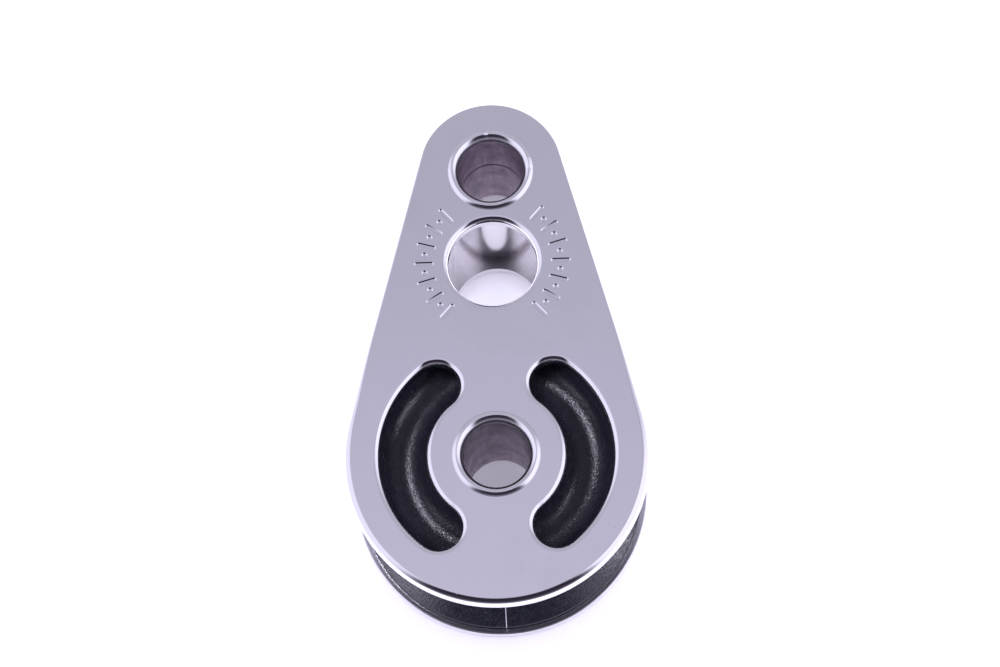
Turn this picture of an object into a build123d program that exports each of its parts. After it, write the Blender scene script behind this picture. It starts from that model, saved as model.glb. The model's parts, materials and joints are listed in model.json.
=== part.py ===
"""Single sheave block with becket: two pressed cheeks, held apart by sleeves and hollow rivets,
with one plain-bearing sheave between them.

Millimetres. The origin is the centre of the axle, midway between the cheeks. +Y runs up the
block towards its head, and +Z runs along the axle and out of the front cheek.
"""
from build123d import *
import os

# Driving dimensions
sheave_diameter = 25.0
sheave_width = 10.5
side_clearance = 0.3          # between the sheave's hub and each cheek
sheet = 1.2                   # cheek thickness
cheek_overhang = 0.5          # how far the cheeks stand past the sheave's rim
head_y = 25.9                 # axle to head eye
becket_y = 17.25              # axle to becket eye
head_radius = 6.35            # outline round the head eye
rivet_bore = 5.7              # through both hollow rivets
rivet_tube = 6.7              # outside of both hollow rivets
rivet_flange = 7.52           # across a rolled rivet end
becket_bore = 7.8
running_clearance = 0.05      # radial, sheave on bush
assembly_clearance = 0.05     # radial, cheeks and sleeves over the rivet tubes

# Levels along the axle
inner_face = sheave_width / 2 + side_clearance
outer_face = inner_face + sheet

# Cheeks
cheek_radius = sheave_diameter / 2 + cheek_overhang
rivet_hole = rivet_tube / 2 + assembly_clearance
window_path_radius = 7.95     # middle of the two curved windows over the sheave
window_width = 3.96
window_half_angle = 51
rim_rounding = 0.7
opening_rounding = 0.5
inner_edge_break = 0.12

# Stamped marks: plain bars and dots in two arcs round the becket eye
mark_path_radius = 5.95
bar_length = 1.7
bar_width = 0.38
dot_radius = 0.24
mark_depth = 0.1
mark_taper = 35
bars_per_arc = 7              # with a dot in each gap
bar_pitch = 16

# Rivet ends: each flares out of the bore, turns over a crest and lands on the cheek
crest_radius = 3.42
crest_height = 0.25
flare_depth = 0.5
axle_step_z = -3.65           # below this the axle rivet is bored out thin for setting
axle_step = 0.16
eyelet_joint_z = 1.2          # where the two head eyelets meet inside the head sleeve
eyelet_edge_break = 0.06
eyelet_lead_in = 0.18

# Sleeves between the cheeks
bush_outer = 4.4
head_sleeve_outer = 3.8
sleeve_edge_break = 0.08

# Sheave
rim_radius = sheave_diameter / 2
half_width = sheave_width / 2
sheave_bore = bush_outer + running_clearance
rim_land = 0.5                # flat at the edge of each flange
rim_edge_rounding = 0.15
groove_radius = 3.4           # rounded bottom of the rope groove
groove_bottom = 7.9           # from the axle's centre
hub_radius = 5.75
channel_outer = 10.15
channel_depth = 1.7           # round-bottomed, in each side of the web
channel_edge_rounding = 0.3
bore_chamfer = 0.25

os.makedirs("parts", exist_ok=True)


def finish(part, name):
    """Label a finished piece and write it to its own file."""
    part.label = name
    export_step(part, f"parts/{name}.step")


def rolled_end(bore_radius, side):
    """Outline of one rolled rivet end, from the bore, over the crest and back to the tube."""
    throat = side * (outer_face - flare_depth)
    EllipticalCenterArc(
        (crest_radius, throat),
        crest_radius - bore_radius,
        flare_depth + crest_height,
        start_angle=180,
        arc_size=-side * 90,
    )
    EllipticalCenterArc(
        (crest_radius, side * outer_face),
        rivet_flange / 2 - crest_radius,
        crest_height,
        start_angle=side * 90,
        arc_size=-side * 90,
    )
    Line((rivet_flange / 2, side * outer_face), (rivet_tube / 2, side * outer_face))


def sleeve(centre_y, inner_radius, outer_radius):
    """Plain tube that spans the gap between the cheeks."""
    with BuildPart() as tube:
        with BuildSketch(Plane.XY.offset(-inner_face)):
            with Locations((0, centre_y)):
                Circle(outer_radius)
                Circle(inner_radius, mode=Mode.SUBTRACT)
        extrude(amount=2 * inner_face)
        chamfer(tube.edges().filter_by(GeomType.CIRCLE), sleeve_edge_break)
    return tube.part


# ---------------------------------------------------------------- cheeks
window_path = CenterArc((0, 0), window_path_radius, -window_half_angle, 2 * window_half_angle)

with BuildPart() as plain_cheek:
    with BuildSketch(Plane.XY.offset(inner_face)):
        Circle(cheek_radius)
        with Locations((0, head_y)):
            Circle(head_radius)
        make_hull()
        with Locations((0, 0), (0, head_y)):
            Circle(rivet_hole, mode=Mode.SUBTRACT)
        with Locations((0, becket_y)):
            Circle(becket_bore / 2, mode=Mode.SUBTRACT)
        SlotArc(window_path, window_width, mode=Mode.SUBTRACT)
        SlotArc(window_path, window_width, rotation=180, mode=Mode.SUBTRACT)
    extrude(amount=sheet)

    # The rivet holes are the two shortest openings, and stay sharp under the rivet ends
    outside = plain_cheek.faces().sort_by(Axis.Z)[-1]
    pressed_openings = outside.inner_wires().sort_by(SortBy.LENGTH)[2:]
    fillet(pressed_openings.edges(), opening_rounding)
    fillet(plain_cheek.faces().sort_by(Axis.Z)[-1].outer_wire().edges(), rim_rounding)
    chamfer(plain_cheek.faces().sort_by(Axis.Z)[0].outer_wire().edges(), inner_edge_break)

with BuildPart() as front_cheek:
    add(plain_cheek.part)
    with BuildSketch(Plane.XY.offset(outer_face)):
        bar_span = bar_pitch * (bars_per_arc - 1)
        dot_span = bar_span - bar_pitch
        for arc_middle in (0, 180):
            first_bar = arc_middle - bar_span / 2
            first_dot = arc_middle - dot_span / 2
            with Locations((0, becket_y)):
                with PolarLocations(
                    mark_path_radius, bars_per_arc, first_bar, bar_span, endpoint=True
                ):
                    SlotOverall(bar_length, bar_width)
                with PolarLocations(
                    mark_path_radius, bars_per_arc - 1, first_dot, dot_span, endpoint=True
                ):
                    Circle(dot_radius)
    extrude(amount=-mark_depth, taper=mark_taper, mode=Mode.SUBTRACT)
finish(front_cheek.part, "front_cheek")

with BuildPart() as rear_cheek:
    mirror(plain_cheek.part, about=Plane.XY)
finish(rear_cheek.part, "rear_cheek")

# ---------------------------------------------------------------- sleeves
finish(sleeve(0, rivet_hole, bush_outer), "axle_bush")
finish(sleeve(head_y, rivet_hole, head_sleeve_outer), "head_sleeve")

# ---------------------------------------------------------------- axle rivet
front_bore = rivet_bore / 2
thinned_bore = front_bore + axle_step
flare_start = outer_face - flare_depth

with BuildPart() as axle_rivet:
    with BuildSketch(Plane.XZ):
        with BuildLine():
            rolled_end(front_bore, 1)
            Line((rivet_tube / 2, outer_face), (rivet_tube / 2, -outer_face))
            rolled_end(thinned_bore, -1)
            Polyline(
                (thinned_bore, -flare_start),
                (thinned_bore, axle_step_z - axle_step),
                (front_bore, axle_step_z),
                (front_bore, flare_start),
            )
        make_face()
    revolve(axis=Axis.Z)
finish(axle_rivet.part, "axle_rivet")

# ---------------------------------------------------------------- head eyelets
with BuildPart() as front_eyelet:
    with BuildSketch(Plane.XZ):
        with BuildLine():
            rolled_end(front_bore, 1)
            Polyline(
                (rivet_tube / 2, outer_face),
                (rivet_tube / 2, eyelet_joint_z),
                (front_bore + eyelet_edge_break, eyelet_joint_z),
                (front_bore, eyelet_joint_z + eyelet_edge_break),
                (front_bore, flare_start),
            )
        make_face()
    revolve(axis=Axis.Z)

with BuildPart() as rear_eyelet:
    with BuildSketch(Plane.XZ):
        with BuildLine():
            rolled_end(front_bore, -1)
            Polyline(
                (rivet_tube / 2, -outer_face),
                (rivet_tube / 2, eyelet_joint_z),
                (front_bore + eyelet_lead_in, eyelet_joint_z),
                (front_bore, eyelet_joint_z - eyelet_lead_in),
                (front_bore, -flare_start),
            )
        make_face()
    revolve(axis=Axis.Z)

head = Location((0, head_y, 0))
finish(front_eyelet.part.moved(head), "front_head_eyelet")
finish(rear_eyelet.part.moved(head), "rear_head_eyelet")

# ---------------------------------------------------------------- sheave
with BuildPart() as sheave:
    with BuildSketch(Plane.XZ):
        with Locations(((sheave_bore + rim_radius) / 2, 0)):
            Rectangle(rim_radius - sheave_bore, sheave_width)
        channel_middle = (hub_radius + channel_outer) / 2
        half_channel = (channel_outer - hub_radius) / 2
        channel_arc = (half_channel**2 + channel_depth**2) / (2 * channel_depth)
        arc_height = half_width - channel_depth + channel_arc
        with Locations((channel_middle, arc_height), (channel_middle, -arc_height)):
            Circle(channel_arc, mode=Mode.SUBTRACT)
    revolve(axis=Axis.Z)

    # The rope groove: a round bottom with flanks that run straight out to the flange edges
    with BuildSketch(Plane.XZ):
        with Locations((groove_bottom + groove_radius, 0)):
            Circle(groove_radius)
        with Locations((rim_radius + groove_radius / 2, 0)):
            Rectangle(groove_radius, sheave_width - 2 * rim_land)
        make_hull()
    revolve(axis=Axis.Z, mode=Mode.SUBTRACT)

    circles = sheave.edges().filter_by(GeomType.CIRCLE)
    fillet(circles.filter_by(lambda edge: edge.radius > rim_radius - rim_land), rim_edge_rounding)
    side_circles = sheave.edges().filter_by(GeomType.CIRCLE).filter_by(
        lambda edge: abs(edge.center().Z) > half_width - side_clearance
    )
    channel_edges = side_circles.filter_by(
        lambda edge: hub_radius - running_clearance < edge.radius < channel_outer + running_clearance
    )
    fillet(channel_edges, channel_edge_rounding)
    bore_edges = side_circles.filter_by(
        lambda edge: abs(edge.radius - sheave_bore) < running_clearance
    )
    chamfer(bore_edges, bore_chamfer)
finish(sheave.part, "sheave")
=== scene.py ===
"""Looks for the single sheave block: polished cheeks, rolled rivets and a moulded sheave.

Metres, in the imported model's own frame. The block lies on its rear rivet ends, +Y towards its
head and +Z out of the front cheek. Every visible piece is built here from a profile or an
outline that follows the CAD node it replaces.
"""
import json
import math

import bmesh
import bpy
from mathutils import Matrix, Vector


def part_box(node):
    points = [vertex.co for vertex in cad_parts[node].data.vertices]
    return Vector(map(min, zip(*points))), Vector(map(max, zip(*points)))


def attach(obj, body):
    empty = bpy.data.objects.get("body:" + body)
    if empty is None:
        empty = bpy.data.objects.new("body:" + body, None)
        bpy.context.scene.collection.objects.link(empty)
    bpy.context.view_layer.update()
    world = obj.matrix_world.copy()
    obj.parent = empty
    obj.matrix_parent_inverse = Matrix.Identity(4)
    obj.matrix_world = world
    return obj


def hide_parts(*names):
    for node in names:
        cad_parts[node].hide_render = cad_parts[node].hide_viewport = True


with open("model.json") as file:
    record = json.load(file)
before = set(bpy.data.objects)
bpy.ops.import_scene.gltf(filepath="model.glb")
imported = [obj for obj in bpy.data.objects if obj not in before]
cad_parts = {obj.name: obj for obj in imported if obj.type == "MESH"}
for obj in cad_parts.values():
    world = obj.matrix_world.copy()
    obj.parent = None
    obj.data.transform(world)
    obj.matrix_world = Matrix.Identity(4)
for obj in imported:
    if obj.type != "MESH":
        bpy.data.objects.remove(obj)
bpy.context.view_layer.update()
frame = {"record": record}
MM = 0.001

# ------------------------------------------------------------------ dimensions from the frame
mounts = {mount["name"]: mount for mount in frame["record"]["mounts"]}
AXLE = Vector(mounts["axle_bore"]["pos_m"])
HEAD = Vector(mounts["head_eye"]["pos_m"])
BECKET = Vector(mounts["becket_eye"]["pos_m"])
RIVET_BORE = mounts["axle_bore"]["dims"]["r_mm"] * MM
BECKET_BORE = mounts["becket_eye"]["dims"]["r_mm"] * MM

cheek_low, cheek_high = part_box("front_cheek")
INNER_FACE, OUTER_FACE = cheek_low.z, cheek_high.z
rivet_low, rivet_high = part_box("axle_rivet")
FLANGE_RADIUS = rivet_high.x
CREST_HEIGHT = rivet_high.z - OUTER_FACE
RESTING_LEVEL = rivet_low.z
sheave_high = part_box("sheave")[1]
RIM_RADIUS = round(sheave_high.x, 5)    # the faceted circle's box falls a little short
HALF_WIDTH = sheave_high.z
BUSH_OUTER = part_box("axle_bush")[1].x
HEAD_SLEEVE_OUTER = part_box("head_sleeve")[1].x - HEAD.x

# ------------------------------------------------------------------ dimensions as in the design
CHEEK_OVERHANG = 0.5 * MM
CHEEK_RADIUS = RIM_RADIUS + CHEEK_OVERHANG
HEAD_RADIUS = 6.35 * MM
LOWER_RIM = 0.7 * MM
OPENING_ROUNDING = 0.5 * MM
INNER_BREAK = 0.12 * MM
RIVET_TUBE = 3.35 * MM
TUBE_CLEARANCE = 0.05 * MM
RUNNING_CLEARANCE = 0.05 * MM
SLEEVE_BREAK = 0.08 * MM
WINDOW_PATH = 7.95 * MM
WINDOW_HALF = 1.98 * MM
WINDOW_HALF_ANGLE = math.radians(51)
MARK_PATH = 5.95 * MM
BAR_LENGTH = 1.7 * MM
BAR_WIDTH = 0.38 * MM
DOT_RADIUS = 0.24 * MM
MARK_DEPTH = 0.1 * MM
MARK_TOE = 0.07 * MM            # how far a mark's tapered wall comes in on its way down
BARS_PER_ARC = 7
BAR_PITCH = math.radians(16)
CREST_RADIUS = 3.42 * MM
FLARE_DEPTH = 0.5 * MM
AXLE_STEP_Z = -3.65 * MM
AXLE_STEP = 0.16 * MM
EYELET_JOINT_Z = 1.2 * MM
EYELET_BREAK = 0.06 * MM
EYELET_LEAD_IN = 0.18 * MM
RIM_LAND = 0.5 * MM
RIM_EDGE = 0.15 * MM
BORE_CHAMFER = 0.25 * MM
GROOVE_RADIUS = 3.4 * MM
GROOVE_BOTTOM = 7.9 * MM
HUB_RADIUS = 5.75 * MM
CHANNEL_OUTER = 10.15 * MM
CHANNEL_DEPTH = 1.7 * MM
CHANNEL_EDGE = 0.3 * MM

FLARE_START = OUTER_FACE - FLARE_DEPTH
TURNS = 192                     # segments round a rivet or a sleeve
SHEAVE_TURNS = 240
FINE = 0.02 * MM                # edge rounding on sharp corners, and support loops

# ------------------------------------------------------------------ drawn here and not in the CAD
FLARE_POWER = 1.12              # draws the flare in from its quarter oval, towards its chord
ROLL_POWER = 1.4                # and the rolled-over side more so, which leaves a narrow crest
MARK_LIP = 0.03 * MM            # soft upper edge of a stamped mark
UPPER_RIM = 0.28 * MM           # the rim's edge is narrower along the sides and the head
RIM_NARROWS_FROM = 1 * MM       # height on the cheek where the wide edge starts to narrow
RIM_NARROWS_OVER = 10 * MM
FLASH_HALF_WIDTH = 0.07 * MM    # the ridge that the mould left across the sheave
FLASH_HEIGHT = 0.05 * MM
FLASH_ROOT = 0.05 * MM          # how deep the ridge starts, under the surface
FLASH_ANGLES = (-89, 91)        # degrees round the axle, opposite each other


# ------------------------------------------------------------------ mesh helpers
def hold_flats_flat(mesh):
    """Give every point of a flat its own straight normal, so that a mirror flat stays a mirror."""
    level = 0.99999
    normals = [vertex.normal.copy() for vertex in mesh.vertices]
    for polygon in mesh.polygons:
        if abs(polygon.normal.z) > level:
            for index in polygon.vertices:
                normals[index] = polygon.normal
    mesh.normals_split_custom_set_from_vertices(normals)


def new_piece(name, bm, body, node, material):
    """Turn a bmesh into a smooth piece that replaces one CAD node."""
    bmesh.ops.recalc_face_normals(bm, faces=bm.faces)
    mesh = bpy.data.meshes.new(name)
    bm.to_mesh(mesh)
    bm.free()
    mesh.shade_smooth()
    hold_flats_flat(mesh)
    piece = bpy.data.objects.new(name, mesh)
    bpy.context.scene.collection.objects.link(piece)
    piece.data.materials.append(material)
    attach(piece, body)
    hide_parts(node)
    return piece


def soften(corners, arc_steps=8):
    """Round each corner (r, z, radius) of a closed profile, with a support point on each side."""
    points = []
    count = len(corners)
    for index, (r, z, radius) in enumerate(corners):
        corner = Vector((r, z))
        before = Vector(corners[index - 1][:2]) - corner
        after = Vector(corners[(index + 1) % count][:2]) - corner
        if radius == 0:
            points.append(corner)
            continue
        half = before.angle(after) / 2
        reach = radius / math.tan(half)
        inward = (before.normalized() + after.normalized()).normalized()
        centre = corner + inward * radius / math.sin(half)
        start = corner + before.normalized() * reach
        end = corner + after.normalized() * reach
        support = min(FINE, 0.2 * radius)
        sweep = (start - centre).angle_signed(end - centre)
        steps = max(4, round(arc_steps * abs(sweep) / (math.pi / 2)))
        points.append(start + before.normalized() * support)
        for step in range(steps + 1):
            turned = Matrix.Rotation(-sweep * step / steps, 2) @ (start - centre)
            points.append(centre + turned)
        points.append(end + after.normalized() * support)
    return points


def lathe(profile, centre, turns=TURNS):
    """Closed surface of revolution about a line along Z through centre."""
    bm = bmesh.new()
    rings = []
    for turn in range(turns):
        angle = 2 * math.pi * turn / turns
        across, along = math.cos(angle), math.sin(angle)
        rings.append([
            bm.verts.new((centre.x + r * across, centre.y + r * along, z)) for r, z in profile
        ])
    for ring, following in zip(rings, rings[1:] + rings[:1]):
        for index in range(len(profile)):
            other = (index + 1) % len(profile)
            bm.faces.new((ring[index], ring[other], following[other], following[index]))
    return bm


def rolled_end(bore, side, steps=14):
    """Profile of one rolled rivet end, from the bore, over the crest and down to the cheek."""
    points = []
    for step in range(steps + 1):
        angle = math.pi / 2 * step / steps
        across = max(0.0, math.cos(angle)) ** FLARE_POWER
        along = math.sin(angle) ** FLARE_POWER
        r = CREST_RADIUS - (CREST_RADIUS - bore) * across
        points.append((r, side * (FLARE_START + (FLARE_DEPTH + CREST_HEIGHT) * along)))
    for step in range(1, steps + 1):
        angle = math.pi / 2 * step / steps
        across = math.sin(angle) ** ROLL_POWER
        along = max(0.0, math.cos(angle)) ** ROLL_POWER
        r = CREST_RADIUS + (FLANGE_RADIUS - CREST_RADIUS) * across
        points.append((r, side * (OUTER_FACE + CREST_HEIGHT * along)))
    points.append((RIVET_TUBE + FINE, side * OUTER_FACE))
    points.append((RIVET_TUBE, side * (OUTER_FACE - FINE)))
    return points


def sleeve_profile(inner, outer):
    """Profile of a plain tube between the cheeks, with its edges broken."""
    return soften([
        (inner, -INNER_FACE, SLEEVE_BREAK), (outer, -INNER_FACE, SLEEVE_BREAK),
        (outer, INNER_FACE, SLEEVE_BREAK), (inner, INNER_FACE, SLEEVE_BREAK),
    ], arc_steps=4)


def arc_loop(centre, radius, start, end, steps, outward=1):
    """Points (x, y, nx, ny) along an arc; the normal points away from the centre, or to it."""
    points = []
    for step in range(steps + 1):
        angle = start + (end - start) * step / steps
        across, along = math.cos(angle), math.sin(angle)
        points.append((
            centre.x + radius * across, centre.y + radius * along,
            outward * across, outward * along,
        ))
    return points


def straight_loop(first, last, steps):
    """Points strictly between two loop points that share one normal."""
    return [
        tuple(a + (b - a) * step / steps for a, b in zip(first, last))
        for step in range(1, steps)
    ]


def cheek_outline():
    """Teardrop outline, anticlockwise, with outward normals."""
    lean = math.asin((CHEEK_RADIUS - HEAD_RADIUS) / (HEAD.y - AXLE.y))
    big = arc_loop(AXLE, CHEEK_RADIUS, math.pi - lean, 2 * math.pi + lean, steps=220)
    small = arc_loop(HEAD, HEAD_RADIUS, lean, math.pi - lean, steps=96)
    right_side = straight_loop(big[-1], small[0], steps=24)
    left_side = straight_loop(small[-1], big[0], steps=24)
    return big + right_side + small + left_side


def circle_loop(centre, radius, steps=160):
    """Full circle with normals that point out of the opening, into the sheet."""
    return arc_loop(centre, radius, 0, 2 * math.pi * (1 - 1 / steps), steps - 1)


def window_loop(side):
    """Curved window beside the axle, with normals into the sheet. Side is +1 right, -1 left."""
    middle = 0 if side > 0 else math.pi
    low, high = middle - WINDOW_HALF_ANGLE, middle + WINDOW_HALF_ANGLE
    top = AXLE + Vector((math.cos(high), math.sin(high), 0)) * WINDOW_PATH
    bottom = AXLE + Vector((math.cos(low), math.sin(low), 0)) * WINDOW_PATH
    outer = arc_loop(AXLE, WINDOW_PATH + WINDOW_HALF, low, high, steps=72)
    cap = arc_loop(top, WINDOW_HALF, high, high + math.pi, steps=32)
    inner = arc_loop(AXLE, WINDOW_PATH - WINDOW_HALF, high, low, steps=72, outward=-1)
    foot = arc_loop(bottom, WINDOW_HALF, low + math.pi, low + 2 * math.pi, steps=32)
    return outer + cap[1:-1] + inner + foot[1:-1]


def bar_loop(angle):
    """Slot-shaped outline of one stamped bar, set radially round the becket eye."""
    across = Vector((math.cos(angle), math.sin(angle), 0))
    half_run = (BAR_LENGTH - BAR_WIDTH) / 2
    far = BECKET + across * (MARK_PATH + half_run)
    near = BECKET + across * (MARK_PATH - half_run)
    quarter = math.pi / 2
    return (
        arc_loop(far, BAR_WIDTH / 2, angle - quarter, angle + quarter, steps=10)
        + arc_loop(near, BAR_WIDTH / 2, angle + quarter, angle + 3 * quarter, steps=10)
    )


def mark_loops():
    """Outlines of all the stamped bars and the dots between them."""
    loops = []
    for middle in (0, math.pi):
        for index in range(BARS_PER_ARC):
            angle = middle + BAR_PITCH * (index - (BARS_PER_ARC - 1) / 2)
            loops.append(bar_loop(angle))
            if index < BARS_PER_ARC - 1:
                between = angle + BAR_PITCH / 2
                across = Vector((math.cos(between), math.sin(between), 0))
                loops.append(circle_loop(BECKET + across * MARK_PATH, DOT_RADIUS, steps=20))
    return loops


def skirt(bm, loop, profiles):
    """Quad strips along a loop. Each loop point has a profile of (offset along its normal, z)."""
    rings = []
    for level in range(len(profiles[0])):
        ring = []
        for (x, y, nx, ny), profile in zip(loop, profiles):
            offset, z = profile[level]
            ring.append(bm.verts.new((x + nx * offset, y + ny * offset, z)))
        rings.append(ring)
    for upper, lower in zip(rings, rings[1:]):
        for index in range(len(loop)):
            other = (index + 1) % len(loop)
            bm.faces.new((upper[index], upper[other], lower[other], lower[index]))
    return rings[0], rings[-1]


def ring_edges(ring):
    """The edges that join a ring's neighbouring points."""
    found = []
    for vertex, following in zip(ring, ring[1:] + ring[:1]):
        found.extend(edge for edge in vertex.link_edges if edge.other_vert(vertex) == following)
    return found


def rounding(radius, top, sign, steps=12):
    """Quarter round from the flat face to the wall; sign +1 for an opening, -1 for the rim."""
    points = [(sign * (radius + FINE), top)]
    for step in range(steps + 1):
        angle = math.pi / 2 * step / steps
        points.append((sign * radius * (1 - math.sin(angle)), top - radius * (1 - math.cos(angle))))
    return points


def rim_radius(y):
    """The rim's rounding at a height on the cheek: wide round the sheave, narrow above it."""
    rise = min(1.0, max(0.0, (y - RIM_NARROWS_FROM) / RIM_NARROWS_OVER))
    blend = rise * rise * (3 - 2 * rise)
    return LOWER_RIM + (UPPER_RIM - LOWER_RIM) * blend


def cheek_mesh(with_marks):
    """The front cheek, as a closed mesh between INNER_FACE and OUTER_FACE."""
    bm = bmesh.new()
    tops, bottoms = [], []

    def wall(loop, edge_radii, sign, back_break):
        """Wall of the rim or an opening, rounded at the outer face and broken at the inner one."""
        below = [
            (0, INNER_FACE + back_break + FINE), (0, INNER_FACE + back_break),
            (sign * back_break, INNER_FACE), (sign * (back_break + FINE), INNER_FACE),
        ]
        profiles = [rounding(radius, OUTER_FACE, sign) + below for radius in edge_radii]
        top, bottom = skirt(bm, loop, profiles)
        tops.append(top)
        bottoms.append(bottom)

    outline = cheek_outline()
    wall(outline, [rim_radius(y) for _, y, _, _ in outline], -1, INNER_BREAK)
    for opening in (window_loop(1), window_loop(-1), circle_loop(BECKET, BECKET_BORE)):
        wall(opening, [OPENING_ROUNDING] * len(opening), 1, FINE)
    for centre in (AXLE, HEAD):
        hole = circle_loop(centre, RIVET_TUBE + TUBE_CLEARANCE)
        wall(hole, [FINE] * len(hole), 1, FINE)

    if with_marks:
        mark_floor = OUTER_FACE - MARK_DEPTH
        stamped = [
            (MARK_LIP, OUTER_FACE), (MARK_LIP / 2, OUTER_FACE - 0.1 * MARK_LIP),
            (0, OUTER_FACE - 0.4 * MARK_LIP), (-MARK_TOE, mark_floor + 0.2 * MARK_LIP),
            (-MARK_TOE - MARK_LIP / 2, mark_floor),
        ]
        for loop in mark_loops():
            top, floor_ring = skirt(bm, loop, [stamped] * len(loop))
            bm.faces.new(floor_ring)
            tops.append(top)

    for rings in (tops, bottoms):
        edges = [edge for ring in rings for edge in ring_edges(ring)]
        bmesh.ops.triangle_fill(bm, use_beauty=True, use_dissolve=False, edges=edges)
    return bm


# ------------------------------------------------------------------ material helpers
class Nodes:
    """Short calls for building a node tree."""

    def __init__(self, tree):
        self.tree = tree
        tree.nodes.clear()

    def add(self, kind, inputs=(), **settings):
        node = self.tree.nodes.new(kind)
        for name, value in settings.items():
            setattr(node, name, value)
        for socket, value in dict(inputs).items():
            if isinstance(value, bpy.types.NodeSocket):
                self.tree.links.new(value, node.inputs[socket])
            else:
                node.inputs[socket].default_value = value
        return node

    def math(self, operation, first, second=0.0):
        return self.add("ShaderNodeMath", {0: first, 1: second}, operation=operation).outputs[0]

    def noise(self, where, scale, detail=3.0, roughness=0.5):
        """Noise from 0 to 1. The scale is in waves per metre, unless where is stretched."""
        return self.add("ShaderNodeTexNoise", {
            "Vector": where, "Scale": scale, "Detail": detail, "Roughness": roughness,
        }).outputs["Fac"]

    def remap(self, value, low, high, new_low, new_high, smooth=False):
        kind = "SMOOTHSTEP" if smooth else "LINEAR"
        return self.add("ShaderNodeMapRange", {
            "Value": value, "From Min": low, "From Max": high, "To Min": new_low, "To Max": new_high,
        }, interpolation_type=kind).outputs["Result"]

    def mix(self, factor, first, second):
        node = self.add("ShaderNodeMix", data_type="RGBA")
        for index, value in ((0, factor), (6, first), (7, second)):
            if isinstance(value, bpy.types.NodeSocket):
                self.tree.links.new(value, node.inputs[index])
            else:
                node.inputs[index].default_value = value
        return node.outputs[2]

    def stretched(self, scale):
        """Object coordinates, in metres, scaled along each axis."""
        where = self.add("ShaderNodeTexCoord").outputs["Object"]
        return self.add("ShaderNodeMapping", {"Vector": where, "Scale": scale}).outputs["Vector"]

    def bump(self, height, distance, strength=1.0, normal=None):
        node = self.add("ShaderNodeBump", {
            "Height": height, "Distance": distance, "Strength": strength,
        })
        if normal is not None:
            self.tree.links.new(normal, node.inputs["Normal"])
        return node.outputs["Normal"]


def new_material(name):
    """Material with one principled shader, and the calls that build the rest of its nodes."""
    material = bpy.data.materials.new(name)
    material.use_nodes = True
    nodes = Nodes(material.node_tree)
    output = nodes.add("ShaderNodeOutputMaterial")
    shader = nodes.add("ShaderNodeBsdfPrincipled")
    material.node_tree.links.new(shader.outputs[0], output.inputs[0])
    return material, nodes, shader


def feed(nodes, shader, **inputs):
    """Link or set a shader's sockets; underscores in a name stand for spaces."""
    for name, value in inputs.items():
        socket = shader.inputs[name.replace("_", " ")]
        if isinstance(value, bpy.types.NodeSocket):
            nodes.tree.links.new(value, socket)
        else:
            socket.default_value = value


def grey(value, tint=(1.0, 1.0, 1.0)):
    """Colour of one brightness, with a slight tint."""
    return (value * tint[0], value * tint[1], value * tint[2], 1.0)


STEEL_TINT = (1.0, 0.985, 1.0)
BORE_TINT = (1.08, 0.92, 1.1)


def polished_sheet():
    """Mirror-polished stainless sheet, handled and a little pitted; its inner face is duller, and
    its darker base there is partly painted shade between the cheeks.
    """
    pit_depth = 0.012 * MM
    material, nodes, shader = new_material("polished_stainless_sheet")
    where = nodes.stretched((1, 1, 1))
    haze = nodes.noise(where, 260.0, 4.0, 0.6)
    buffing = nodes.noise(nodes.stretched((9000, 500, 900)), 1.0, 2.0, 0.5)
    peel = nodes.noise(where, 2600.0, 2.0, 0.6)
    smudge = nodes.remap(nodes.noise(where, 120.0, 5.0, 0.62), 0.54, 0.66, 0.0, 1.0, smooth=True)
    pits = nodes.add("ShaderNodeTexVoronoi", {"Vector": where, "Scale": 420.0}, feature="F1")
    chosen = nodes.add("ShaderNodeSeparateColor", {"Color": pits.outputs["Color"]}).outputs[0]
    pit_size = nodes.remap(chosen, 0.8, 1.0, 0.0, 0.06)
    pit_reach = nodes.math("SUBTRACT", pit_size, pits.outputs["Distance"])
    pit = nodes.remap(pit_reach, -0.03, 0.0, 0.0, 1.0)
    scratch_noise = nodes.noise(nodes.stretched((2400, 140, 100)), 1.0, 1.0, 0.4)
    scratch = nodes.remap(scratch_noise, 0.78, 0.80, 0.0, 1.0)

    height = nodes.add("ShaderNodeSeparateXYZ", {"Vector": where}).outputs["Z"]
    level = nodes.math("ABSOLUTE", height)
    inside = nodes.remap(level, INNER_FACE + 0.02 * MM, INNER_FACE + 0.2 * MM, 1.0, 0.0)

    colour = nodes.mix(haze, grey(0.80, STEEL_TINT), grey(0.84, STEEL_TINT))
    colour = nodes.mix(nodes.math("MULTIPLY", smudge, 0.25), colour, grey(0.74, STEEL_TINT))
    colour = nodes.mix(nodes.math("MULTIPLY", pit, 0.5), colour, grey(0.3, STEEL_TINT))
    # inner faces: a rougher, duller finish, and a darker base that is partly painted shade between
    # the cheeks
    colour = nodes.mix(inside, colour, grey(0.70, (1.0, 0.98, 1.0)))
    gloss = nodes.remap(nodes.math("MULTIPLY", haze, buffing), 0.1, 0.45, 0.03, 0.075)
    gloss = nodes.math("ADD", gloss, nodes.math("MULTIPLY", smudge, 0.035))
    gloss = nodes.math("MAXIMUM", gloss, nodes.math("MULTIPLY", inside, 0.2))

    waves = nodes.bump(nodes.noise(where, 170.0, 1.0), 0.004 * MM, 0.5)
    fine = nodes.bump(nodes.math("ADD", buffing, peel), 0.0009 * MM, 0.6, waves)
    marks = nodes.bump(nodes.math("MAXIMUM", pit, scratch), -pit_depth, 0.6, fine)
    feed(nodes, shader, Metallic=1.0, Base_Color=colour, Roughness=gloss, Normal=marks)
    return material


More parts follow.
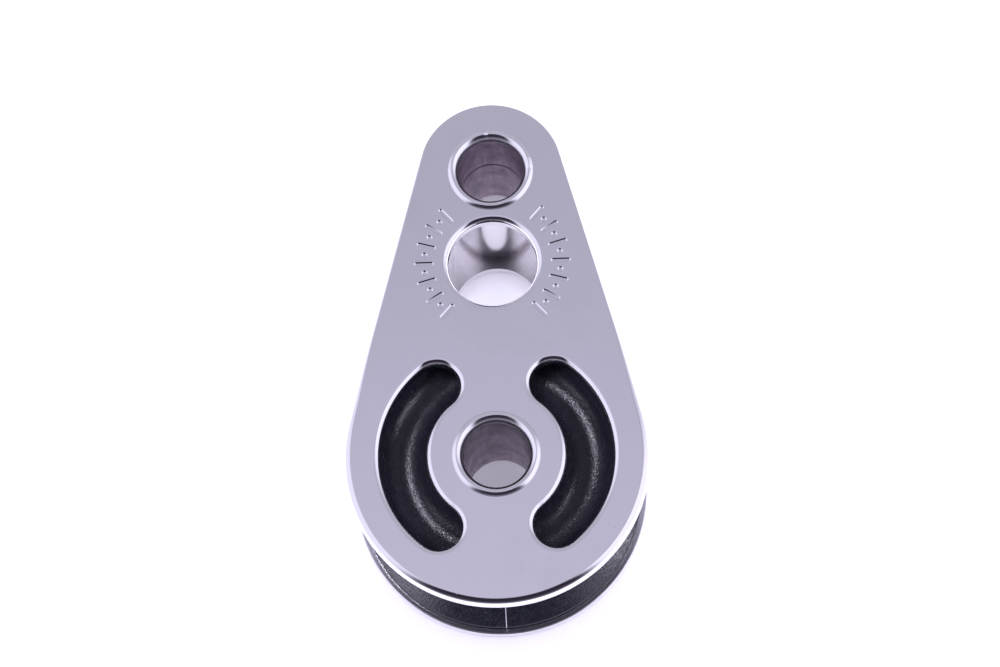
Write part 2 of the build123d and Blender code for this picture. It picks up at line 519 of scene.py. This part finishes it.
def rivet_steel(name, centre, dark, light, seam_depth):
    """Bright rolled ends with a seam on the far side, and a bore left dull by drawing the tube.

    Dark and light are the two greys that the bore's streaks run between.
    """
    material, nodes, shader = new_material(name)
    where = nodes.add("ShaderNodeTexCoord").outputs["Object"]
    split = nodes.add("ShaderNodeSeparateXYZ", {"Vector": where})
    x = nodes.math("SUBTRACT", split.outputs["X"], centre.x)
    y = nodes.math("SUBTRACT", split.outputs["Y"], centre.y)
    square = nodes.math("ADD", nodes.math("POWER", x, 2.0), nodes.math("POWER", y, 2.0))
    radius = nodes.math("SQRT", square)
    depth = nodes.math("ABSOLUTE", split.outputs["Z"])
    widest_bore = RIVET_BORE + AXLE_STEP
    narrow = nodes.remap(radius, widest_bore + 0.02 * MM, widest_bore + 0.06 * MM, 1, 0)
    deep = nodes.remap(depth, FLARE_START - 0.1 * MM, FLARE_START + 0.02 * MM, 1, 0)
    bore = nodes.math("MULTIPLY", narrow, deep)
    drawn = nodes.noise(nodes.stretched((3500, 3500, 260)), 1.0, 4.0, 0.65)
    blotch = nodes.noise(where, 700.0, 4.0, 0.6)
    stain = nodes.remap(nodes.noise(where, 420.0, 5.0, 0.7), 0.35, 0.65, 0.0, 1.0)
    bright = nodes.mix(blotch, grey(0.80, STEEL_TINT), grey(0.86, STEEL_TINT))
    streaks = nodes.math("MULTIPLY", drawn, stain)
    dull = nodes.mix(streaks, grey(dark, BORE_TINT), grey(light, BORE_TINT))
    rough_bore = nodes.remap(blotch, 0.3, 0.7, 0.34, 0.5)
    throat = nodes.remap(radius, RIVET_BORE + 0.12 * MM, RIVET_BORE + 0.32 * MM, 0.3, 0.0)
    rough_end = nodes.math("MAXIMUM", nodes.remap(blotch, 0.3, 0.7, 0.12, 0.2), throat)
    roughness = nodes.add("ShaderNodeMix", {0: bore, 2: rough_end, 3: rough_bore}).outputs[0]
    rolled = nodes.math("SUBTRACT", 1.0, bore)
    far_side = nodes.math("MULTIPLY", nodes.remap(y, 0.0, 1 * MM, 0.0, 1.0), rolled)
    right_of_seam = nodes.remap(x, -0.5 * MM, -0.15 * MM, 0, 1)
    seam = nodes.bump(nodes.math("MULTIPLY", right_of_seam, far_side), seam_depth, 1.0)
    feed(
        nodes, shader, Metallic=1.0, Base_Color=nodes.mix(bore, bright, dull),
        Roughness=roughness, Normal=nodes.bump(drawn, 0.003 * MM, 0.35, seam),
    )
    return material


def sleeve_steel():
    """Turned tube with fine rings round it, darkened where it meets the cheeks: painted shade in the
    corners between sleeve and cheek.
    """
    material, nodes, shader = new_material("turned_sleeve_steel")
    where = nodes.stretched((1, 1, 1))
    rings = nodes.noise(nodes.stretched((90, 90, 5200)), 1.0, 2.0, 0.5)
    haze = nodes.noise(where, 420.0, 4.0, 0.6)
    height = nodes.add("ShaderNodeSeparateXYZ", {"Vector": where}).outputs["Z"]
    level = nodes.math("ABSOLUTE", height)
    # painted shade: a dark brownish band towards each end, where the sleeve meets a cheek, broken up
    # by speckle
    ends = nodes.remap(level, INNER_FACE - 2.4 * MM, INNER_FACE - 0.5 * MM, 0.0, 1.0, smooth=True)
    speckle = nodes.remap(nodes.noise(where, 4200.0, 3.0, 0.7), 0.4, 0.62, 0.95, 0.6)
    colour = nodes.mix(haze, grey(0.84, STEEL_TINT), grey(0.90, STEEL_TINT))
    painted_shade_colour = grey(0.16, (1.15, 0.9, 0.98))
    colour = nodes.mix(nodes.math("MULTIPLY", ends, speckle), colour, painted_shade_colour)
    gloss = nodes.remap(haze, 0.3, 0.7, 0.12, 0.2)
    feed(
        nodes, shader, Metallic=1.0, Base_Color=colour, Roughness=gloss,
        Normal=nodes.bump(rings, 0.0006 * MM, 0.4),
    )
    return material


def sheave_plastic():
    """Black acetal with the spark-eroded grain of its mould, which breaks its gloss into specks."""
    material, nodes, shader = new_material("black_acetal")
    where = nodes.stretched((1, 1, 1))
    grain = nodes.noise(where, 6000.0, 2.0, 0.6)
    sparks = nodes.remap(nodes.noise(where, 8500.0, 1.0, 0.5), 0.6, 0.7, 0.0, 0.6)
    mottle = nodes.noise(where, 1500.0, 4.0, 0.6)
    colour = nodes.mix(mottle, grey(0.004, (1.0, 1.0, 1.5)), grey(0.012, (1.0, 1.0, 1.6)))
    gloss = nodes.remap(mottle, 0.3, 0.7, 0.15, 0.27)
    feed(
        nodes, shader, Base_Color=colour, Roughness=gloss, IOR=1.49, Specular_IOR_Level=0.22,
        Normal=nodes.bump(nodes.math("ADD", grain, sparks), 0.03 * MM, 0.85),
    )
    return material


def mould_flash():
    """The thin edge of the mould line, painted pale grey: a painted highlight along the ridge."""
    material, nodes, shader = new_material("mould_flash_painted_highlight")
    painted_highlight_noise = nodes.noise(nodes.stretched((1, 1, 1)), 2500.0)
    # painted highlight: the dark ridge is mixed towards pale grey so that it reads as a thin white
    # line
    feed(
        nodes, shader, Roughness=0.5,
        Base_Color=nodes.mix(painted_highlight_noise, grey(0.1, (1.0, 1.0, 1.2)), grey(0.55, (1.0, 1.0, 1.15))),
    )
    return material


# ------------------------------------------------------------------ the block
def build_cheeks():
    """Front cheek with its marks, and the same plate turned over and without them behind."""
    material = polished_sheet()
    front = cheek_mesh(True)
    new_piece("front_cheek_plate", front, "block", "front_cheek", material)
    rear = cheek_mesh(False)
    bmesh.ops.scale(rear, vec=(1, 1, -1), verts=rear.verts)
    new_piece("rear_cheek_plate", rear, "block", "rear_cheek", material)


def build_rivets():
    """The axle's one hollow rivet, and the head's two eyelets that meet inside its sleeve."""
    thinned = RIVET_BORE + AXLE_STEP
    step_end = AXLE_STEP_Z - AXLE_STEP
    axle = rolled_end(RIVET_BORE, 1) + rolled_end(thinned, -1)[::-1]
    axle += [
        (thinned, step_end - FINE), (thinned, step_end),
        (RIVET_BORE, AXLE_STEP_Z), (RIVET_BORE, AXLE_STEP_Z + FINE),
    ]
    new_piece(
        "rolled_axle_rivet", lathe(axle, AXLE), "block", "axle_rivet",
        rivet_steel("axle_rivet_steel", AXLE, 0.20, 0.62, 0.01 * MM),
    )
    eyelet_material = rivet_steel("head_eyelet_steel", HEAD, 0.34, 0.86, 0.09 * MM)
    front = rolled_end(RIVET_BORE, 1) + [
        (RIVET_TUBE, EYELET_JOINT_Z + FINE), (RIVET_TUBE - FINE, EYELET_JOINT_Z),
        (RIVET_BORE + EYELET_BREAK, EYELET_JOINT_Z), (RIVET_BORE, EYELET_JOINT_Z + EYELET_BREAK),
        (RIVET_BORE, EYELET_JOINT_Z + EYELET_BREAK + FINE),
    ]
    rear = rolled_end(RIVET_BORE, -1) + [
        (RIVET_TUBE, EYELET_JOINT_Z - FINE), (RIVET_TUBE - FINE, EYELET_JOINT_Z),
        (RIVET_BORE + EYELET_LEAD_IN, EYELET_JOINT_Z), (RIVET_BORE, EYELET_JOINT_Z - EYELET_LEAD_IN),
        (RIVET_BORE, EYELET_JOINT_Z - EYELET_LEAD_IN - FINE),
    ]
    for name, profile, node in (
        ("rolled_front_eyelet", front, "front_head_eyelet"),
        ("rolled_rear_eyelet", rear, "rear_head_eyelet"),
    ):
        new_piece(name, lathe(profile, HEAD), "block", node, eyelet_material)


def build_sleeves():
    """The two sleeves that keep the cheeks apart."""
    material = sleeve_steel()
    for name, centre, outer, node in (
        ("axle_bush_sleeve", AXLE, BUSH_OUTER, "axle_bush"),
        ("head_spacer_sleeve", HEAD, HEAD_SLEEVE_OUTER, "head_sleeve"),
    ):
        profile = sleeve_profile(RIVET_TUBE + TUBE_CLEARANCE, outer)
        new_piece(name, lathe(profile, centre), "block", node, material)


def groove_apex():
    """Where the groove's two straight flanks would meet, from the axle."""
    centre = GROOVE_BOTTOM + GROOVE_RADIUS
    mouth = HALF_WIDTH - RIM_LAND
    reach = math.hypot(RIM_RADIUS - centre, mouth)
    slope = math.atan2(mouth, RIM_RADIUS - centre) - math.asin(GROOVE_RADIUS / reach)
    return centre - GROOVE_RADIUS / math.sin(slope)


def channel_points():
    """Round-bottomed channel in the sheave's front side, from its hub edge to its rim edge."""
    middle = (HUB_RADIUS + CHANNEL_OUTER) / 2
    half = (CHANNEL_OUTER - HUB_RADIUS) / 2
    radius = (half * half + CHANNEL_DEPTH * CHANNEL_DEPTH) / (2 * CHANNEL_DEPTH)
    height = HALF_WIDTH - CHANNEL_DEPTH + radius
    edge_z = HALF_WIDTH - CHANNEL_EDGE
    lean = math.asin((height - edge_z) / (radius + CHANNEL_EDGE))
    reach = (radius + CHANNEL_EDGE) * math.cos(lean)

    def arc(r, z, size, start, end, steps):
        """Profile corners with no rounding of their own, along an arc."""
        for step in range(steps + 1):
            angle = start + (end - start) * step / steps
            yield r + size * math.cos(angle), z + size * math.sin(angle), 0

    quarter = math.pi / 2
    return [
        (middle - reach - FINE, HALF_WIDTH, 0),
        *arc(middle - reach, edge_z, CHANNEL_EDGE, quarter, lean, steps=6),
        *list(arc(middle, height, radius, math.pi + lean, 2 * math.pi - lean, steps=36))[1:-1],
        *arc(middle + reach, edge_z, CHANNEL_EDGE, math.pi - lean, quarter, steps=6),
        (middle + reach + FINE, HALF_WIDTH, 0),
    ]


def sheave_profile():
    """Closed half-section of the sheave, from the bore round both sides and the groove."""
    bore = BUSH_OUTER + RUNNING_CLEARANCE
    upper = [
        (bore, HALF_WIDTH - BORE_CHAMFER, FINE), (bore + BORE_CHAMFER, HALF_WIDTH, FINE),
        *channel_points(),
        (RIM_RADIUS, HALF_WIDTH, RIM_EDGE), (RIM_RADIUS, HALF_WIDTH - RIM_LAND, RIM_EDGE),
    ]
    lower = [(r, -z, radius) for r, z, radius in reversed(upper)]
    return soften(upper + [(groove_apex(), 0, GROOVE_RADIUS)] + lower, arc_steps=10)


def mould_line(bm, profile, angle):
    """Fine ridge across the sheave's rim and groove, where the two slides of the mould met."""
    out = Vector((math.cos(angle), math.sin(angle), 0))
    half_way_across = Vector((-out.y, out.x, 0)) * FLASH_HALF_WIDTH
    outside = [Vector(point) for point in profile if point[0] > GROOVE_BOTTOM - FINE]
    lands = [index for index, point in enumerate(outside) if point.x > RIM_RADIUS - FINE]
    start = max(lands, key=lambda index: outside[index].y)
    run = [point for point in outside[start:] if abs(point.y) <= outside[start].y]
    sections = []
    for point in run:
        surface = AXLE + out * point.x + Vector((0, 0, point.y))
        root = surface - out * FLASH_ROOT
        sections.append([
            bm.verts.new(root - half_way_across), bm.verts.new(surface + out * FLASH_HEIGHT),
            bm.verts.new(root + half_way_across),
        ])
    faces = [bm.faces.new(sections[0]), bm.faces.new(sections[-1])]
    for first, second in zip(sections, sections[1:]):
        for index in range(3):
            other = (index + 1) % 3
            faces.append(bm.faces.new((first[index], first[other], second[other], second[index])))
    for face in faces:
        face.material_index = 1


def build_sheave():
    """The wheel with its rope groove, and the two mould lines across it."""
    profile = sheave_profile()
    bm = lathe(profile, AXLE, SHEAVE_TURNS)
    for angle in FLASH_ANGLES:
        mould_line(bm, profile, math.radians(angle))
    sheave = new_piece("grooved_sheave", bm, "sheave", "sheave", sheave_plastic())
    sheave.data.materials.append(mould_flash())
    return sheave


# ------------------------------------------------------------------ studio
def world_light():
    """A light tent: bright walls left and right, a dimmer one behind, a grey roof that dims to
    the right, and a dark gap in front. The camera itself sees plain white round the block.
    """
    world = bpy.data.worlds.new("light_tent")
    bpy.context.scene.world = world
    world.use_nodes = True
    nodes = Nodes(world.node_tree)
    direction = nodes.add("ShaderNodeTexCoord").outputs["Generated"]
    split = nodes.add("ShaderNodeSeparateXYZ", {"Vector": direction})
    flat = nodes.add("ShaderNodeCombineXYZ", {"X": split.outputs["X"], "Y": split.outputs["Y"]})
    level = nodes.add("ShaderNodeVectorMath", {0: flat.outputs[0]}, operation="NORMALIZE").outputs[0]
    height = split.outputs["Z"]

    def sector(azimuth, half_width, softness):
        """1 inside a sector of the horizon, 0 outside, smooth between. Degrees."""
        centre = (math.cos(math.radians(azimuth)), math.sin(math.radians(azimuth)), 0)
        nearness = nodes.add("ShaderNodeVectorMath", {0: level, 1: centre}, operation="DOT_PRODUCT")
        outer = math.cos(math.radians(half_width + softness))
        inner = math.cos(math.radians(half_width - softness))
        return nodes.remap(nearness.outputs["Value"], outer, inner, 0.0, 1.0, smooth=True)

    def above(low, high):
        """0 below one elevation and 1 above the other. Degrees."""
        return nodes.remap(
            height, math.sin(math.radians(low)), math.sin(math.radians(high)), 0.0, 1.0, smooth=True
        )

    tent = (1.03, 1.0, 1.25)         # tints of the walls and the roof
    roof_tint = (1.04, 1.0, 1.295)
    deep_gap = (0.035, 0.026, 0.045, 1.0)
    white = (1.0, 1.0, 1.0, 1.0)
    back = grey(0.50, tent)
    glow = nodes.mix(sector(180, 36, 14), back, grey(0.97, tent))
    glow = nodes.mix(sector(-8, 34, 18), glow, grey(1.12, tent))
    dimmer_right = nodes.math("MULTIPLY", split.outputs["X"], -0.13)
    brighter_overhead = nodes.remap(height, 0.92, 0.976, 0.456, 0.587)
    roof_level = nodes.math("ADD", brighter_overhead, dimmer_right)
    roof = nodes.add(
        "ShaderNodeVectorMath", {0: roof_tint, "Scale": roof_level}, operation="SCALE"
    ).outputs[0]
    glow = nodes.mix(above(62, 74), glow, roof)
    gap = nodes.math("MULTIPLY", sector(-90, 46, 8), nodes.math("SUBTRACT", 1.0, above(72, 86)))
    gap_colour = nodes.mix(above(0, 34), grey(0.24, tent), deep_gap)
    glow = nodes.mix(gap, glow, gap_colour)
    seen = nodes.add("ShaderNodeLightPath").outputs["Is Camera Ray"]
    glow = nodes.mix(seen, glow, white)
    shader = nodes.add("ShaderNodeBackground", {"Color": glow, "Strength": 1.0})
    output = nodes.add("ShaderNodeOutputWorld")
    nodes.tree.links.new(shader.outputs[0], output.inputs[0])


LAMP_DISTANCE = 0.5
LAMP_TINT = (1.0, 0.97, 1.15)
MIDDLE = Vector((0, (HEAD.y + AXLE.y) / 2, 0))


def softbox(name, azimuth, elevation, radius, radiance, receivers):
    """Round lamp that faces the middle of the block. Angles in degrees; the radius is one too.

    The polished steel mirrors the tent alone, so the lamps light only the receivers.
    """
    turn, rise = math.radians(azimuth), math.radians(elevation)
    away = Vector((
        math.cos(rise) * math.cos(turn), math.cos(rise) * math.sin(turn), math.sin(rise)
    ))
    light = bpy.data.lights.new(name, "AREA")
    light.shape = "DISK"
    light.size = 2 * LAMP_DISTANCE * math.tan(math.radians(radius))
    disc_area = math.pi * (light.size / 2) ** 2
    light.energy = radiance * math.pi * disc_area
    light.color = LAMP_TINT
    lamp = bpy.data.objects.new(name, light)
    bpy.context.scene.collection.objects.link(lamp)
    lamp.location = MIDDLE + away * LAMP_DISTANCE
    lamp.rotation_euler = (-away).to_track_quat("-Z", "Y").to_euler()
    lamp.light_linking.receiver_collection = receivers


def studio_floor():
    """White table under the block."""
    half_size = 1.5
    bm = bmesh.new()
    bmesh.ops.create_grid(bm, x_segments=8, y_segments=8, size=half_size)
    mesh = bpy.data.meshes.new("white_table")
    bm.to_mesh(mesh)
    bm.free()
    table = bpy.data.objects.new("white_table", mesh)
    bpy.context.scene.collection.objects.link(table)
    table.location.z = RESTING_LEVEL
    material, nodes, shader = new_material("white_table_top")
    paper = nodes.noise(nodes.stretched((1, 1, 1)), 900.0)
    feed(
        nodes, shader, Roughness=0.9, Specular_IOR_Level=0.0,
        Base_Color=nodes.mix(paper, grey(0.88), grey(0.9)),
        Emission_Color=(1.0, 0.92, 1.18, 1.0), Emission_Strength=0.15,
    )
    mesh.materials.append(material)
    return table


def photo_camera():
    """The photo's view: over the sheave's end of the block, leaning back from straight down."""
    lean = math.radians(18.74)
    azimuth = math.radians(4.90)
    roll = math.radians(-1.247)
    distance = 205.29 * MM
    aim = Vector((0.531 * MM, 10.684 * MM, OUTER_FACE))
    back = Vector((
        math.sin(azimuth) * math.sin(lean), -math.cos(azimuth) * math.sin(lean), math.cos(lean)
    ))
    right = Vector((0, 1, 0)).cross(back).normalized()
    up = back.cross(right)
    turned_right = math.cos(roll) * right + math.sin(roll) * up
    turned_up = math.cos(roll) * up - math.sin(roll) * right
    camera = bpy.data.cameras.new("photo_camera")
    camera.sensor_width = 36.0
    camera.lens = 86.04
    camera.clip_start = 0.005
    holder = bpy.data.objects.new("photo_camera", camera)
    bpy.context.scene.collection.objects.link(holder)
    axes = Matrix((turned_right, turned_up, back)).transposed().to_4x4()
    holder.matrix_world = Matrix.Translation(aim + back * distance) @ axes
    bpy.context.scene.camera = holder


# ------------------------------------------------------------------ the scene
bpy.context.scene.view_settings.view_transform = "Standard"
photo_camera()
world_light()
build_cheeks()
build_rivets()
build_sleeves()
sheave_alone = bpy.data.collections.new("sheave_lit")
table_alone = bpy.data.collections.new("table_lit")
sheave_alone.objects.link(build_sheave())
table_alone.objects.link(studio_floor())
softbox("right_lamp", -12, 37, 6, 52.0, sheave_alone)
softbox("left_lamp", 163, 69, 6, 60.0, sheave_alone)
softbox("low_left_lamp", 205, 24, 22, 8.0, sheave_alone)
softbox("low_right_lamp", -30, 24, 20, 3.5, sheave_alone)
softbox("table_lamp", 90, 80, 32, 4.2, table_alone)
